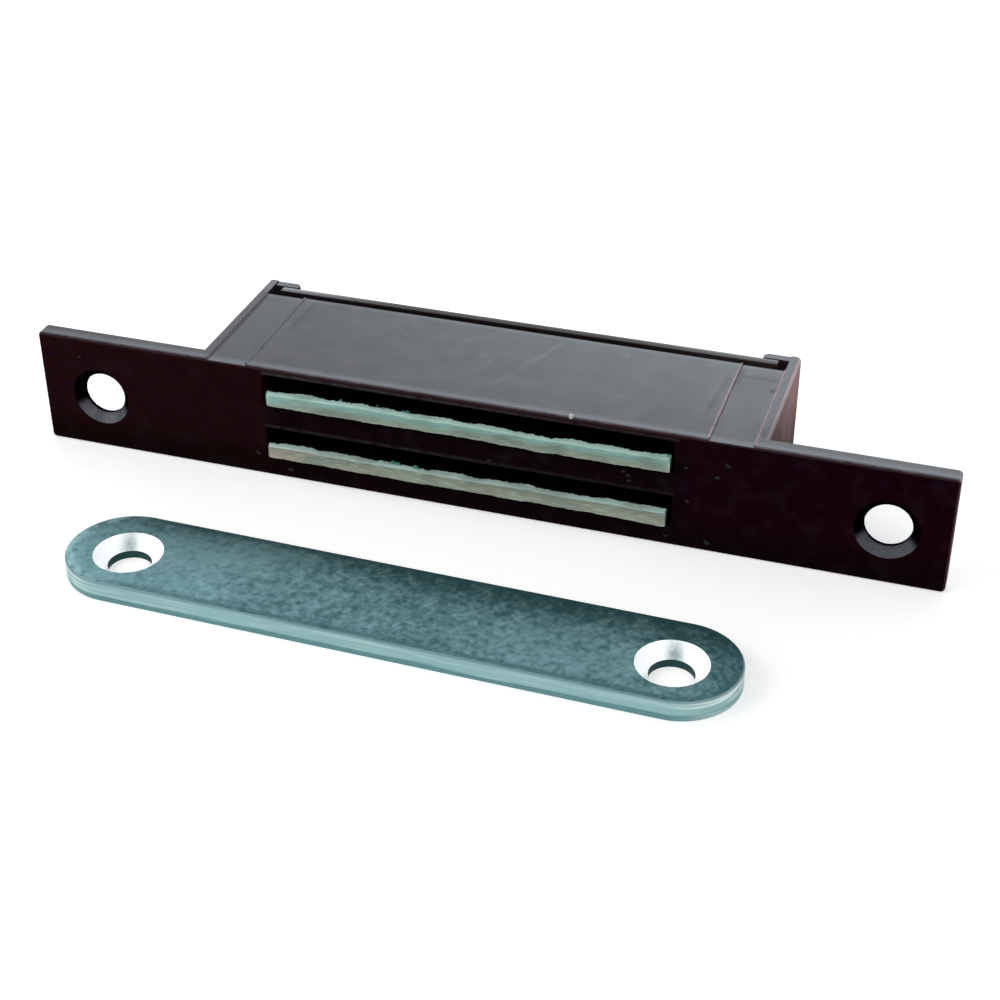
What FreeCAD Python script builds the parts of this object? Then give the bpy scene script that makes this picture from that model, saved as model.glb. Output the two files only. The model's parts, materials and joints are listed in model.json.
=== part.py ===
import FreeCAD, Part
import math
import os
import Sketcher

# Magnetic catch for a notch in the edge of a shelf or panel, with its loose strike plate.
# Frame, in millimetres: X along the faceplate, Y from its front face back into the notch, Z up.
# The origin is the middle of the faceplate's front face.

DRIVING_SIZES = [
    # Faceplate
    ("faceplate_length", 105.0),
    ("faceplate_height", 14.0),
    ("faceplate_thickness", 2.0),
    ("faceplate_corner", 0.5),
    ("faceplate_arris", 0.4),
    ("screw_inset", 7.0),
    ("screw_shift", 0.3),
    ("screw_drop", 0.35),
    ("screw_hole", 5.1),
    ("screw_countersink", 7.0),
    ("countersink_angle", 90.0),
    ("screw_land", 1.4),
    ("screw_relief", 6.4),
    # Box behind the faceplate, the panels' reach measured back from the front face
    ("body_width", 65.0),
    ("body_arris", 0.5),
    ("side_wall", 1.2),
    ("panel_reach", 17.3),
    ("pocket_end_wall", 2.4),
    ("post_thickness", 0.9),
    ("post_length", 1.2),
    ("post_drop", 1.0),
    ("chamber_skin", 0.9),
    ("rail_width", 1.4),
    ("rail_pitch", 11.0),
    # Moulding marks on the top
    ("strip_sink", 0.12),
    ("seam_width", 0.36),
    ("seam_crest", 0.09),
    ("seam_height", 0.14),
    # Snap hooks at the rear corners
    ("hook_reach", 3.0),
    ("hook_thickness", 1.0),
    ("hook_gap", 0.05),
    ("hook_lead", 0.4),
    # Magnet pack
    ("pack_shift", -0.75),
    ("pack_base", 2.8),
    ("plate_length", 46.4),
    ("plate_depth", 15.0),
    ("plate_thickness", 1.8),
    ("plate_proud", 0.8),
    ("plate_arris", 0.25),
    ("plate_slip", 0.2),
    ("magnet_inset", 0.2),
    ("pocket_top_skin", 0.8),
    ("magnet_arris", 0.3),
    # Play of the pack in its slots and pocket
    ("float_travel", 1.6),
    ("float_gap", 0.2),
    ("rest_gap", 0.05),
    ("slot_below", 0.25),
    ("slot_end_gap", 0.5),
    ("slot_corner", 0.6),
    ("pocket_end_gap", 0.8),
    ("push_play", 0.8),
    ("magnet_gap", 0.4),
    # Back cover
    ("cover_thickness", 1.15),
    ("cover_seat_gap", 0.05),
    ("cover_end_gap", 1.2),
    ("cover_drop", 0.15),
    ("cover_arris", 0.2),
    ("tongue_reach", 0.7),
    ("tongue_height", 1.2),
    ("tongue_end_gap", 0.3),
    ("rib_thickness", 1.2),
    ("rib_pitch", 15.0),
    ("rib_end_gap", 0.4),
    # Strike plate
    ("strike_length", 73.5),
    ("strike_width", 13.0),
    ("strike_thickness", 2.3),
    ("strike_inset", 7.0),
    ("strike_drop", 0.55),
    ("strike_hole", 4.7),
    ("strike_countersink", 7.5),
    ("strike_arris", 0.25),
    ("strike_ahead", 22.1),
    ("strike_shift", -1.0),
    ("strike_turn", -0.87),
]

COVER_RIBS = 3
POCKET_RAILS = 4
# A cut that takes less volume than this takes nothing, and two places this close are one.
LEAST_CUT = 1e-6
SAME_PLACE = 1e-4

# Half widths, heights and depths that the housing, the cover and the pack share. Heights run from
# the middle of the faceplate, depths from its front face.
POCKET_HALF = "( plate_length / 2 + pocket_end_gap )"
BOX_HALF = f"( {POCKET_HALF} + pocket_end_wall )"
WALL_INSIDE = "( body_width / 2 - side_wall )"
PACK_BASE = "( pack_base - faceplate_height / 2 )"
POCKET_FLOOR = f"{PACK_BASE} - rest_gap"
POCKET_ROOF = "( faceplate_height / 2 - pocket_top_skin )"
# The magnet takes the height that the plates and their play leave over in the pocket.
PLAY_AND_PLATES = "( float_travel + float_gap + 2 * plate_thickness )"
MAGNET_THICKNESS = f"( {POCKET_ROOF} - {PACK_BASE} - {PLAY_AND_PLATES} )"
SLOT_STEPS = ("0", f"( plate_thickness + {MAGNET_THICKNESS} )")
MAGNET_FRONT = "( faceplate_thickness + magnet_gap )"
POST_REACH = "( panel_reach + post_length )"
COVER_FRONT = f"( {POST_REACH} + cover_seat_gap )"
COVER_REAR = f"( {COVER_FRONT} + cover_thickness )"
HOOK_FRONT = f"( {COVER_REAR} + hook_gap )"
WALL_REACH = f"( {HOOK_FRONT} + hook_thickness )"

document = FreeCAD.newDocument("magnetic_catch")


def make_sheet():
    sheet = document.addObject("Spreadsheet::Sheet", "Sizes")
    for row, (alias, value) in enumerate(DRIVING_SIZES, start=1):
        sheet.set(f"A{row}", alias)
        sheet.set(f"B{row}", str(value))
        sheet.setAlias(f"B{row}", alias)
    document.recompute()
    return sheet


def size(formula):
    """Turn a formula on the plain size names into one that reads the sheet."""
    words = []
    for word in formula.replace("(", " ( ").replace(")", " ) ").split():
        words.append(f"Sizes.{word}" if word[0].isalpha() else word)
    return " ".join(words)


def new_body(name):
    body = document.addObject("PartDesign::Body", name)
    body.Label = name
    return body


def new_sketch(body, name, role, offset="0"):
    sketch = body.newObject("Sketcher::SketchObject", name)
    for plane in body.Origin.OriginFeatures:
        if plane.Role == role:
            sketch.AttachmentSupport = [(plane, "")]
    sketch.MapMode = "FlatFace"
    sketch.setExpression("AttachmentOffset.Base.z", size(offset))
    return sketch


def place_point(sketch, geometry, point, across, up):
    """Tie one point of a sketch to two formulas, measured from the sketch's origin."""
    x_value = sketch.evalExpression(size(across))
    y_value = sketch.evalExpression(size(up))
    for kind, formula, value in (("DistanceX", across, x_value), ("DistanceY", up, y_value)):
        index = sketch.addConstraint(Sketcher.Constraint(kind, -1, 1, geometry, point, float(value)))
        sketch.setExpression(f"Constraints[{index}]", size(formula))


def add_polygon(sketch, corners):
    points = []
    for across, up in corners:
        x_value = float(sketch.evalExpression(size(across)))
        y_value = float(sketch.evalExpression(size(up)))
        points.append(FreeCAD.Vector(x_value, y_value, 0))
    first = sketch.GeometryCount
    count = len(points)
    for number in range(count):
        line = Part.LineSegment(points[number], points[(number + 1) % count])
        sketch.addGeometry(line, False)
    for number in range(count):
        following = first + (number + 1) % count
        sketch.addConstraint(Sketcher.Constraint("Coincident", first + number, 2, following, 1))
    for number, (across, up) in enumerate(corners):
        place_point(sketch, first + number, 1, across, up)


def add_rectangle(sketch, left, right, low, high):
    add_polygon(sketch, [(left, low), (right, low), (right, high), (left, high)])


def add_rounded_rectangle(sketch, left, right, low, high, radius):
    """Draw a rectangle with a quarter circle at each corner, each centre tied to its formulas."""
    round_value = float(sketch.evalExpression(size(radius)))
    centres = [
        (f"{left} + {radius}", f"{low} + {radius}"),
        (f"{right} - {radius}", f"{low} + {radius}"),
        (f"{right} - {radius}", f"{high} - {radius}"),
        (f"{left} + {radius}", f"{high} - {radius}"),
    ]
    arcs = []
    for number, (across, up) in enumerate(centres):
        x_value = float(sketch.evalExpression(size(across)))
        y_value = float(sketch.evalExpression(size(up)))
        circle = Part.Circle(FreeCAD.Vector(x_value, y_value, 0), FreeCAD.Vector(0, 0, 1), round_value)
        start = math.pi + number * math.pi / 2
        arcs.append(sketch.addGeometry(Part.ArcOfCircle(circle, start, start + math.pi / 2), False))
    for number, arc in enumerate(arcs):
        following = arcs[(number + 1) % len(arcs)]
        begin = sketch.Geometry[arc].EndPoint
        finish = sketch.Geometry[following].StartPoint
        side = sketch.addGeometry(Part.LineSegment(begin, finish), False)
        sketch.addConstraint(Sketcher.Constraint("Tangent", arc, 2, side, 1))
        sketch.addConstraint(Sketcher.Constraint("Tangent", side, 2, following, 1))
    for arc, (across, up) in zip(arcs, centres):
        place_point(sketch, arc, 3, across, up)
    for arc in arcs[1:]:
        sketch.addConstraint(Sketcher.Constraint("Equal", arcs[0], arc))
    constraint = sketch.addConstraint(Sketcher.Constraint("Radius", arcs[0], round_value))
    sketch.setExpression(f"Constraints[{constraint}]", size(radius))


def add_circle(sketch, across, up, diameter):
    x_value = float(sketch.evalExpression(size(across)))
    y_value = float(sketch.evalExpression(size(up)))
    radius = float(sketch.evalExpression(size(diameter))) / 2
    circle = Part.Circle(FreeCAD.Vector(x_value, y_value, 0), FreeCAD.Vector(0, 0, 1), radius)
    index = sketch.addGeometry(circle, False)
    place_point(sketch, index, 3, across, up)
    constraint = sketch.addConstraint(Sketcher.Constraint("Diameter", index, 2 * radius))
    sketch.setExpression(f"Constraints[{constraint}]", size(diameter))


def add_obround(sketch, length, width):
    """Draw a bar with half-round ends, centred on the sketch's origin and lying along its X."""
    radius = float(sketch.evalExpression(size(width))) / 2
    reach = float(sketch.evalExpression(size(length))) / 2 - radius
    upward = FreeCAD.Vector(0, 0, 1)
    right = Part.Circle(FreeCAD.Vector(reach, 0, 0), upward, radius)
    left = Part.Circle(FreeCAD.Vector(-reach, 0, 0), upward, radius)
    quarter = math.pi / 2
    sketch.addGeometry(Part.ArcOfCircle(right, -quarter, quarter), False)
    top = Part.LineSegment(FreeCAD.Vector(reach, radius, 0), FreeCAD.Vector(-reach, radius, 0))
    sketch.addGeometry(top, False)
    sketch.addGeometry(Part.ArcOfCircle(left, quarter, 3 * quarter), False)
    bottom = Part.LineSegment(FreeCAD.Vector(-reach, -radius, 0), FreeCAD.Vector(reach, -radius, 0))
    sketch.addGeometry(bottom, False)
    sketch.addConstraint(Sketcher.Constraint("Tangent", 0, 2, 1, 1))
    sketch.addConstraint(Sketcher.Constraint("Tangent", 1, 2, 2, 1))
    sketch.addConstraint(Sketcher.Constraint("Tangent", 2, 2, 3, 1))
    sketch.addConstraint(Sketcher.Constraint("Tangent", 3, 2, 0, 1))
    place_point(sketch, 0, 3, f"( {length} - {width} ) / 2", "0")
    place_point(sketch, 2, 3, f"-1 * ( {length} - {width} ) / 2", "0")
    constraint = sketch.addConstraint(Sketcher.Constraint("Radius", 0, radius))
    sketch.setExpression(f"Constraints[{constraint}]", size(f"{width} / 2"))


def pad(body, name, sketch, length, reverse=False, both_ways=False):
    feature = body.newObject("PartDesign::Pad", name)
    feature.Profile = sketch
    feature.setExpression("Length", size(length))
    feature.Reversed = reverse
    if both_ways:
        feature.SideType = "Symmetric"
    document.recompute()
    return feature


def pocket(body, name, sketch, length, both_ways=False):
    before = body.Shape.Volume
    feature = body.newObject("PartDesign::Pocket", name)
    feature.Profile = sketch
    feature.setExpression("Length", size(length))
    if both_ways:
        feature.SideType = "Symmetric"
    document.recompute()
    check_smaller(name, before, feature.Shape.Volume)
    return feature


def countersunk_holes(body, name, sketch, diameter, countersink):
    before = body.Shape.Volume
    feature = body.newObject("PartDesign::Hole", name)
    feature.Profile = sketch
    feature.DepthType = "ThroughAll"
    feature.setExpression("Diameter", size(diameter))
    feature.HoleCutType = "Countersink"
    feature.HoleCutCustomValues = True
    feature.setExpression("HoleCutDiameter", size(countersink))
    feature.setExpression("HoleCutCountersinkAngle", size("countersink_angle"))
    document.recompute()
    check_smaller(name, before, feature.Shape.Volume)
    return feature


def check_smaller(name, before, after):
    if after > before - LEAST_CUT:
        raise RuntimeError(f"{name} takes nothing away")


def round_edges(body, name, radius, chosen, kind="Fillet"):
    """Round the edges of the body's tip that the test picks out."""
    base = body.Tip
    picked = []
    for number, edge in enumerate(base.Shape.Edges, start=1):
        if chosen(edge.BoundBox):
            picked.append(f"Edge{number}")
    feature = body.newObject(f"PartDesign::{kind}", name)
    feature.Base = (base, picked)
    feature.setExpression("Radius" if kind == "Fillet" else "Size", size(radius))
    document.recompute()
    return feature


def near(value, target):
    return abs(value - target) < SAME_PLACE


def make_housing(sheet):
    """One moulding: faceplate, magnet box, two end chambers and the side walls with their hooks."""
    body = new_body("housing")

    outline = new_sketch(body, "faceplate_outline", "XZ_Plane")
    add_rectangle(outline, "-1 * faceplate_length / 2", "faceplate_length / 2",
                  "-1 * faceplate_height / 2", "faceplate_height / 2")
    pad(body, "faceplate", outline, "faceplate_thickness", reverse=True)

    block = new_sketch(body, "box_outline", "XZ_Plane")
    add_rectangle(block, "-1 * body_width / 2", "body_width / 2",
                  "-1 * faceplate_height / 2", "faceplate_height / 2")
    pad(body, "box_block", block, WALL_REACH, reverse=True)

    half_height = sheet.faceplate_height / 2
    half_length = sheet.faceplate_length / 2
    half_width = sheet.body_width / 2
    wall_reach = float(block.evalExpression(size(WALL_REACH)))
    round_edges(body, "faceplate_corner_round", "faceplate_corner",
                lambda box: near(abs(box.XMin), half_length) and near(box.XMin, box.XMax)
                and near(abs(box.ZMin), half_height) and near(box.ZMin, box.ZMax))
    round_edges(body, "faceplate_arris_round", "faceplate_arris",
                lambda box: near(box.YMin, 0) and near(box.YMax, 0))
    round_edges(body, "box_round", "body_arris",
                lambda box: near(abs(box.XMin), half_width) and near(box.XMin, box.XMax)
                and (near(box.ZMin, box.ZMax) or near(box.YMin, wall_reach)))

    cut_rear(body)
    cut_insides(body)
    cut_slots(body)

    screws = new_sketch(body, "screw_centres", "XZ_Plane")
    reliefs = new_sketch(body, "screw_reliefs", "XZ_Plane", offset="-1 * screw_land")
    for sign in ("-1", "1"):
        across = f"screw_shift + {sign} * ( faceplate_length / 2 - screw_inset )"
        add_circle(screws, across, "-1 * screw_drop", "screw_hole")
        add_circle(reliefs, across, "-1 * screw_drop", "screw_relief")
    countersunk_holes(body, "screw_holes", screws, "screw_hole", "screw_countersink")
    pocket(body, "rear_reliefs", reliefs, "faceplate_thickness")

    mark_top(body)
    return body


def cut_rear(body):
    """Cut back the panels between the side walls, leaving the corner hooks and the cover's posts."""
    plan = new_sketch(body, "rear_plan", "XY_Plane")
    tip = f"{WALL_INSIDE} - hook_reach"
    post_in = f"{BOX_HALF} - post_thickness"
    right = [
        (post_in, "panel_reach"),
        (post_in, POST_REACH),
        (BOX_HALF, POST_REACH),
        (BOX_HALF, "panel_reach"),
        (WALL_INSIDE, "panel_reach"),
        (WALL_INSIDE, HOOK_FRONT),
        (tip, HOOK_FRONT),
        (tip, f"{WALL_REACH} - hook_lead"),
        (f"{tip} + hook_lead", WALL_REACH),
        (f"{tip} + hook_lead", f"{WALL_REACH} + side_wall"),
    ]
    left = [(f"-1 * ( {across} )", along) for across, along in reversed(right)]
    add_polygon(plan, right + left)
    pocket(body, "rear_opening", plan, "faceplate_height * 2", both_ways=True)
    tops = new_sketch(body, "post_top_outlines", "XZ_Plane", offset="-1 * panel_reach")
    for sign in ("-1", "1"):
        add_rectangle(tops, f"{sign} * ( {post_in} )", f"{sign} * {BOX_HALF}",
                      "faceplate_height / 2 - post_drop", "faceplate_height / 2")
    pocket(body, "post_tops", tops, "post_length")


def cut_insides(body):
    """Hollow out the magnet pocket and the chamber at each end of it, from the rear."""
    hollow = new_sketch(body, "hollow_outlines", "XZ_Plane", offset="-1 * faceplate_thickness")
    low = "chamber_skin - faceplate_height / 2"
    high = "faceplate_height / 2 - chamber_skin"
    pocket_outline = [
        (f"pack_shift + {POCKET_HALF}", POCKET_ROOF),
        (f"pack_shift - {POCKET_HALF}", POCKET_ROOF),
        (f"pack_shift - {POCKET_HALF}", low),
    ]
    for number in range(POCKET_RAILS):
        middle = f"pack_shift + {number - (POCKET_RAILS - 1) / 2} * rail_pitch"
        pocket_outline += [
            (f"{middle} - rail_width / 2", low),
            (f"{middle} - rail_width / 2", POCKET_FLOOR),
            (f"{middle} + rail_width / 2", POCKET_FLOOR),
            (f"{middle} + rail_width / 2", low),
        ]
    pocket_outline.append((f"pack_shift + {POCKET_HALF}", low))
    add_polygon(hollow, pocket_outline)
    add_rectangle(hollow, f"-1 * {WALL_INSIDE}", f"-1 * {BOX_HALF}", low, high)
    add_rectangle(hollow, BOX_HALF, WALL_INSIDE, low, high)
    pocket(body, "hollows", hollow, "panel_reach")


def cut_slots(body):
    """Cut the two slots that the pole plates stand in."""
    openings = new_sketch(body, "slot_outlines", "XZ_Plane")
    reach = "( plate_length / 2 + slot_end_gap )"
    for step in SLOT_STEPS:
        low = f"{PACK_BASE} + {step} - slot_below"
        high = f"{PACK_BASE} + {step} + plate_thickness + float_travel + float_gap"
        add_rounded_rectangle(openings, f"pack_shift - {reach}", f"pack_shift + {reach}",
                              low, high, "slot_corner")
    pocket(body, "slots", openings, "faceplate_thickness")


def mark_top(body):
    """Sink the two end strips of the top a little and raise the mould's seams beside them."""
    strips = new_sketch(body, "strip_plan", "XY_Plane", offset="faceplate_height / 2")
    front = "-1 * side_wall"
    rear = f"{WALL_REACH} + side_wall"
    add_rectangle(strips, BOX_HALF, WALL_INSIDE, front, rear)
    add_rectangle(strips, f"-1 * {WALL_INSIDE}", f"-1 * {BOX_HALF}", front, rear)
    pocket(body, "sunk_strips", strips, "strip_sink")

    seams = new_sketch(body, "seam_profiles", "XZ_Plane", offset="-1 * faceplate_arris")
    top = "faceplate_height / 2"
    for edge in (BOX_HALF, WALL_INSIDE):
        for sign in ("-1", "1"):
            add_polygon(seams, [
                (f"{sign} * {edge} - seam_width / 2", f"{top} - strip_sink"),
                (f"{sign} * {edge} + seam_width / 2", f"{top} - strip_sink"),
                (f"{sign} * {edge} + seam_crest / 2", f"{top} + seam_height"),
                (f"{sign} * {edge} - seam_crest / 2", f"{top} + seam_height"),
            ])
    pad(body, "seams", seams, "panel_reach - faceplate_arris", reverse=True)


def make_back_cover():
    """Strip that slides in between the posts and the hooks, with a tongue and ribs behind the pack."""
    body = new_body("back_cover")
    end = f"( {WALL_INSIDE} - cover_end_gap )"

    plan = new_sketch(body, "strip_plan_cover", "XY_Plane")
    add_rectangle(plan, f"-1 * {end}", end, COVER_FRONT, COVER_REAR)
    pad(body, "cover_strip", plan, "faceplate_height - 2 * cover_drop", both_ways=True)

    tongue = new_sketch(body, "tongue_outline", "YZ_Plane")
    top = "faceplate_height / 2 - post_drop"
    add_rectangle(tongue, f"{COVER_FRONT} - tongue_reach", f"{COVER_FRONT} + cover_thickness / 2",
                  f"{top} - tongue_height", top)
    pad(body, "cover_tongue", tongue, f"2 * ( {BOX_HALF} - post_thickness - tongue_end_gap )", both_ways=True)

    ribs = new_sketch(body, "rib_plan", "XY_Plane", offset=f"{POCKET_FLOOR} + rib_end_gap")
    first_rib = -(COVER_RIBS - 1) / 2
    for number in range(COVER_RIBS):
        middle = f"pack_shift + {first_rib + number} * rib_pitch"
        add_rectangle(ribs, f"{middle} - rib_thickness / 2", f"{middle} + rib_thickness / 2",
                      "plate_depth - plate_proud + push_play", f"{COVER_FRONT} + cover_thickness / 2")
    pad(body, "cover_ribs", ribs, f"{POCKET_ROOF} - ( {POCKET_FLOOR} ) - 2 * rib_end_gap")

    rear = float(plan.evalExpression(size(COVER_REAR)))
    round_edges(body, "cover_edge_round", "cover_arris",
                lambda box: near(box.YMin, rear) and near(box.YMax, rear) and near(box.ZMin, box.ZMax)
                and box.ZMax > 0)
    return body


def make_pole_plate(sheet, name, step, slip):
    """Stamped steel bar, with the edges of its working face rolled over."""
    body = new_body(name)
    outline = new_sketch(body, f"{name}_outline", "XY_Plane")
    add_rectangle(outline, "-1 * plate_length / 2", "plate_length / 2",
                  "-1 * plate_proud", "plate_depth - plate_proud")
    pad(body, f"{name}_blank", outline, "plate_thickness")
    front = -sheet.plate_proud
    round_edges(body, f"{name}_edge_round", "plate_arris",
                lambda box: near(box.YMin, front) and near(box.YMax, front))
    body.setExpression("Placement.Base.x", size(f"pack_shift + {slip}"))
    body.setExpression("Placement.Base.z", size(f"{PACK_BASE} + {step}"))
    return body


def make_magnet():
    """Pressed ferrite block with small chamfers all round."""
    body = new_body("magnet")
    outline = new_sketch(body, "magnet_outline", "XY_Plane")
    end = "( plate_length / 2 - magnet_inset )"
    add_rectangle(outline, f"-1 * {end}", end, MAGNET_FRONT, "plate_depth - plate_proud - magnet_inset")
    pad(body, "magnet_block", outline, MAGNET_THICKNESS)
    round_edges(body, "magnet_chamfers", "magnet_arris", lambda box: True, kind="Chamfer")
    body.setExpression("Placement.Base.x", size("pack_shift"))
    body.setExpression("Placement.Base.z", size(f"{PACK_BASE} + plate_thickness"))
    return body


def make_strike_plate(sheet):
    """Blanked steel plate with half-round ends, lying flat in front of the catch."""
    body = new_body("strike_plate")
    outline = new_sketch(body, "strike_outline", "XY_Plane")
    add_obround(outline, "strike_length", "strike_width")
    pad(body, "strike_blank", outline, "strike_thickness")
    thick = sheet.strike_thickness
    round_edges(body, "strike_edge_round", "strike_arris",
                lambda box: near(box.ZMin, box.ZMax) and near(box.ZMin, thick))
    screws = new_sketch(body, "strike_screw_centres", "XY_Plane", offset="strike_thickness")
    for sign in ("-1", "1"):
        add_circle(screws, f"{sign} * ( strike_length / 2 - strike_inset )",
                   "-1 * strike_drop", "strike_hole")
    countersunk_holes(body, "strike_screw_holes", screws, "strike_hole", "strike_countersink")
    body.Placement = FreeCAD.Placement(FreeCAD.Vector(), FreeCAD.Rotation(FreeCAD.Vector(0, 0, 1), 1))
    body.setExpression("Placement.Rotation.Angle", size("strike_turn"))
    body.setExpression("Placement.Base.x", size("strike_shift"))
    body.setExpression("Placement.Base.y", size("-1 * strike_ahead"))
    body.setExpression("Placement.Base.z", size("-1 * faceplate_height / 2"))
    return body


def check_document():
    for item in document.Objects:
        if "Invalid" in item.State or "Error" in item.State:
            raise RuntimeError(f"{item.Name} failed: {item.State}")


def write_parts(bodies):
    os.makedirs("parts", exist_ok=True)
    for body in bodies:
        shape = body.Shape
        if shape.isNull() or not shape.isValid():
            raise RuntimeError(f"{body.Label} has no valid shape")
        shape.exportStep(os.path.join("parts", f"{body.Label}.step"))
        print(body.Label, len(shape.Solids), "solid", round(shape.Volume, 2), "mm3")


def main():
    sheet = make_sheet()
    bodies = [
        make_housing(sheet),
        make_back_cover(),
        make_pole_plate(sheet, "pole_plate_lower", SLOT_STEPS[0], "0"),
        make_pole_plate(sheet, "pole_plate_upper", SLOT_STEPS[1], "plate_slip"),
        make_magnet(),
        make_strike_plate(sheet),
    ]
    document.recompute()
    check_document()
    write_parts(bodies)


main()
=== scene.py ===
import json
import math
import random

import bmesh
import bpy
from mathutils import Matrix, Vector


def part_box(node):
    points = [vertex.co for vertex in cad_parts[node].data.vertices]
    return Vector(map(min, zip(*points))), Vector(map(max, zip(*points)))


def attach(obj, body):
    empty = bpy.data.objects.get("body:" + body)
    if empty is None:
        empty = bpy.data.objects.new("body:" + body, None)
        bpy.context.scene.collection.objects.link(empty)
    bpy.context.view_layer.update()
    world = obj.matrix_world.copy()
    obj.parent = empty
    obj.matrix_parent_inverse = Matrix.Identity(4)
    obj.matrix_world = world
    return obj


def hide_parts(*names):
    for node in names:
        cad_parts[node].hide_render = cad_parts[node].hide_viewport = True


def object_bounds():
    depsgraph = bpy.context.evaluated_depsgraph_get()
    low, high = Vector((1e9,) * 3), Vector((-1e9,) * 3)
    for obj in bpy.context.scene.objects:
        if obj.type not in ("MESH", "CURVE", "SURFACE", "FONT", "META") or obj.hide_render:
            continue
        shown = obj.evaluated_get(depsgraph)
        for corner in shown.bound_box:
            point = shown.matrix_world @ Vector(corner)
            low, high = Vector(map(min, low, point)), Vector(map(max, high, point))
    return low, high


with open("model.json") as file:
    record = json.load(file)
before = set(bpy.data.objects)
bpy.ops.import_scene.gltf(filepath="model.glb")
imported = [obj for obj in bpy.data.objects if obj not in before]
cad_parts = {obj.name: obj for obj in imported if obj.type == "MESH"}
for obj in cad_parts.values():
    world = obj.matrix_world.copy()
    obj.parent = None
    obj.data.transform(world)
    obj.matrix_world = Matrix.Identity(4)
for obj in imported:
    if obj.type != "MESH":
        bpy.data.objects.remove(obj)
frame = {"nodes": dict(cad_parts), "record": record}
CAD_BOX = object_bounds()

bl_info = {
    "name": "Magnetic catch",
    "version": (1, 0, 0),
    "blender": (4, 5, 0),
    "location": "View3D > Sidebar > Catch",
    "description": "Dresses a magnetic catch: moulded plastic, sheared bars and plated steel",
    "category": "Object",
}

MM = 0.001
CAMERA_FRAME = 36.0

# Places on the housing that its finish follows: the box's sides, and the seams and rear of its top.
BOX_SIDE = 32.5 * MM
OUTER_SEAM = 31.3 * MM
INNER_SEAM = 26.4 * MM
PANEL_REAR = 17.3 * MM
# The slots' rims: height above the bars' tops, and reach past the bars' ends.
SLOT_LIFT = 1.8 * MM
SLOT_END_GAP = 0.5 * MM
# Radii between which the countersinks' masks fade out, and the radius of the strike's ends.
HOUSING_SINK = (3.45 * MM, 3.6 * MM)
STRIKE_SINK = (4.3 * MM, 4.6 * MM)
STRIKE_END = 6.5 * MM

# Marks on the housing's top, in millimetres across it and back from the faceplate's front.
# A stroke has its start, end, width and strength, and a spot its middle, reach and strength.
SCRATCHES = (
    # The first stroke is a painted highlight along the top panel's rear edge.
    ((-31.3, 16.9), (31.3, 16.9), 0.55, 0.13),
    ((6.2, 16.6), (1.5, 4.6), 0.80, 0.065),
    ((6.0, 16.0), (3.9, 10.4), 0.60, 0.13),
    ((-14.2, 15.0), (-11.7, 12.2), 0.60, 0.09),
    ((25.2, 14.4), (24.2, 4.7), 0.80, 0.05),
)
RUBBED_SPOTS = (
    ((-1.8, 10.2), (0.9, 1.0), 0.08),
    ((-0.6, 9.2), (0.35, 0.9), 0.13),
    ((13.6, 15.2), (0.6, 1.0), 0.11),
    ((4.7, 5.7), (0.9, 0.8), 0.06),
)
# Duller marks there: sinks beside the seams, two lines on the right strip and dents beside it.
DULL_STROKES = (
    ((25.7, 14.4), (24.9, 4.7), 0.5, 0.6),
    ((-24.7, 16.5), (-24.9, 9.0), 0.6, 0.6),
    ((26.6, 14.75), (31.1, 14.75), 0.7, 0.8),
    ((26.8, 16.4), (26.8, 12.6), 0.4, 0.9),
)
DULL_SPOTS = (
    ((30.8, 12.4), (0.4, 0.7), 1.3),
    ((31.6, 3.1), (0.4, 1.1), 1.1),
)
# Scratches on the strike plate: turn in radians and length in millimetres, and the width of all.
STRIKE_SCRATCHES = ((0.5, 3.2), (1.1, 2.4), (2.2, 2.8), (2.7, 3.6), (0.9, 6.0))
SCRATCH_WIDTH = 0.42

# Seeds of the bars, of the burrs' places, and of each lot of crumbs with its stray in millimetres.
BAR_SEEDS = {"lower": 3, "upper": 4}
BURR_SEED = 11
CRUMB_LOTS = {"edge_burrs": (5, 0.05), "face_flecks": (2, 0.02), "arris_chip": (8, 0.0)}
# Groups of burrs: which bar, middle and spread along it in millimetres, and how many.
BURR_GROUPS = (
    ("upper", -17.0, 0.35, 2), ("upper", -14.6, 0.4, 3), ("upper", -11.3, 0.7, 8),
    ("upper", -9.6, 0.5, 6), ("upper", -7.2, 0.4, 3), ("upper", 22.3, 0.15, 3),
    ("lower", -8.7, 0.5, 3), ("lower", -6.2, 0.3, 2), ("lower", 22.0, 0.12, 4),
)
# Bounds of a burr's place: in millimetres from the bar's top, and in shares of the roll's depth.
BURR_LIFT = (-0.13, -0.01)
BURR_DEPTH = (0.7, 1.1)
# Flecks on the front, in millimetres across it and up from its foot.
FLECKS = (
    (24.2, 10.2), (28.7, 11.3), (27.7, 9.6), (24.6, 6.0), (22.4, 1.2), (27.0, 1.2), (-21.6, 1.2),
    (-25.5, 2.8), (-47.3, 11.6), (2.3, 6.9), (17.5, 8.5), (18.0, 8.1), (18.15, 7.4),
)
# Crumbs of the bright chip, in millimetres across, back and up from the faceplate's top edge.
CHIP = (
    (11.50, 0.28, 0.04), (11.54, 0.30, 0.02), (11.46, 0.26, 0.02), (11.50, 0.30, 0.12),
    (11.48, 0.22, -0.10),
)
# Least and greatest turn of a crumb in radians, and the same of its length, width and height.
CRUMB_TURN = ((-0.5, -0.5, -0.7), (0.5, 0.5, 0.7))
CRUMB_SHAPE = ((0.5, 0.3, 0.22), (1.0, 0.7, 0.45))

# Floor: half its width, and the distances between which its glow changes, in metres.
FLOOR_REACH = 30.0
GLOW_START = 0.12
GLOW_END = 0.40
SEEN_RAYS = ("Is Camera Ray", "Is Glossy Ray", "Is Transmission Ray")
# Lamps: width and height, and place, in metres.
LAMPS = {
    "key_left": ((0.34, 0.24), (-0.30, -0.16, 0.24)),
    "key_right": ((0.30, 0.22), (0.16, -0.22, 0.36)),
    "rear_card": ((0.60, 0.11), (-0.05, 0.26, 0.115)),
}

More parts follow.
